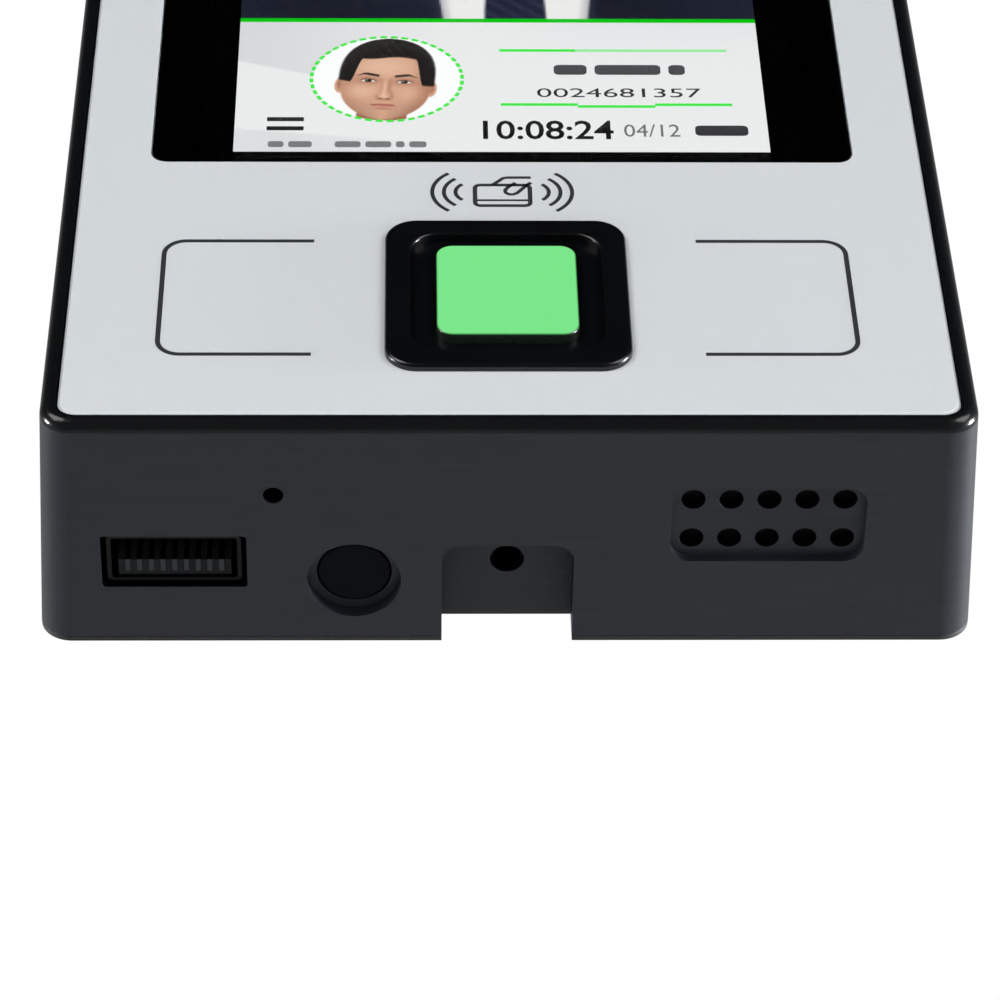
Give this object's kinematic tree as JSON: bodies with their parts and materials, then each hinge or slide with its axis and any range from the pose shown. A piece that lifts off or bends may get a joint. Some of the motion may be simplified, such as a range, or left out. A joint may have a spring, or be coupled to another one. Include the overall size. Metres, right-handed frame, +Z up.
{
  "type": "fingerprint scanner terminal",
  "caption": "Upright wall terminal with a touch screen, a raised fingerprint reader and card reader below it, and sockets, a push button and a speaker grille in its underside.",
  "frame": {"origin": "middle of the rear wall face, at the centre of the four hook slots", "axes": "+Z up, +Y towards the wall, the screen and the reader face -Y"},
  "size_m": [0.093, 0.0286, 0.19],
  "materials": {
    "housing_black": "fine brushed satin black coating, gloss on the rounded front edge",
    "panel_silver": "satin silver",
    "cover_glass": "polished, black printed border",
    "screen": "lit screen layer",
    "black_plastic": "fine moulded texture",
    "black_gloss": "gloss moulded",
    "reader_green": "green lit platen glass",
    "clear_optics": "polished clear",
    "circuit_board": "green solder mask",
    "bright_steel": "bright plated steel",
    "black_steel": "black zinc plated screws",
    "chip_black": "moulded chip case",
    "lamp_amber": "lamp case with phosphor window",
    "brass": "turned brass",
    "gold_contact": "gold plated contact",
    "black_rubber": "matt elastomer",
    "relay_blue": "moulded case",
    "terminal_green": "moulded nylon",
    "flex_amber": "polyimide ribbon",
    "tongue_white": "moulded insulator",
    "speaker_cone": "thin formed diaphragm",
    "dark_magnet": "sintered magnet"
  },
  "bodies": {
    "terminal": {"housing": "housing_black", "front_panel": "panel_silver", "cover_glass": "cover_glass", "glass_tape": "black_rubber", "chassis": "black_plastic", "display_cell": "screen", "display_backlight": "bright_steel", "display_plate": "bright_steel", "display_flex": "flex_amber", "flex_socket": "black_plastic", "fingerprint_bezel": "black_gloss", "fingerprint_platen": "reader_green", "fingerprint_prism": "clear_optics", "optics_shroud": "black_plastic", "sensor_board": "circuit_board", "sensor_chip": "chip_black", "sensor_lamps": "lamp_amber", "antenna_board": "circuit_board", "camera_board": "circuit_board", "camera_holders": "black_plastic", "camera_barrels": "black_plastic", "camera_lenses": "clear_optics", "image_sensors": "chip_black", "infrared_lamps": "lamp_amber", "lamp_diffuser": "clear_optics", "white_lamps": "lamp_amber", "main_board": "circuit_board", "standoffs": "brass", "board_screws": "bright_steel", "processor_shield": "bright_steel", "processor": "chip_black", "memory_chips": "chip_black", "lock_relay": "relay_blue", "coin_cell_holder": "black_plastic", "coin_cell": "bright_steel", "network_jack": "black_plastic", "connector_pins": "gold_contact", "terminal_block": "terminal_green", "terminal_clamps": "bright_steel", "power_socket": "tongue_white", "io_board": "circuit_board", "usb_shell": "black_steel", "usb_tongue": "black_plastic", "usb_contacts": "gold_contact", "button_switch": "black_plastic", "reset_switch": "black_plastic", "tamper_switch": "black_plastic", "speaker_seal": "black_rubber", "speaker_frame": "black_plastic", "speaker_cone": "speaker_cone", "speaker_magnet": "dark_magnet", "voice_coil": "flex_amber", "rear_cover": "black_plastic", "cover_screws": "black_steel", "cover_gasket": "black_rubber", "security_insert": "black_steel"},
    "button": {"button_cap": "black_gloss", "button_plunger": "black_plastic"},
    "reset_pin": {"reset_plunger": "black_plastic"},
    "tamper_pin": {"tamper_plunger": "black_plastic"}
  },
  "joints": [
    {"name": "button_press", "type": "slide", "parent": "terminal", "child": "button", "axis": [0, 0, 1], "range_m": [0, 0.0008], "stiffness_N_per_m": 1500, "springref_m": -0.0004},
    {"name": "reset_press", "type": "slide", "parent": "terminal", "child": "reset_pin", "axis": [0, 0, 1], "range_m": [0, 0.00025], "stiffness_N_per_m": 3000, "springref_m": -0.0002},
    {"name": "tamper_press", "type": "slide", "parent": "terminal", "child": "tamper_pin", "axis": [0, -1, 0], "range_m": [0, 0.0012], "stiffness_N_per_m": 500, "springref_m": -0.0005}
  ]
}
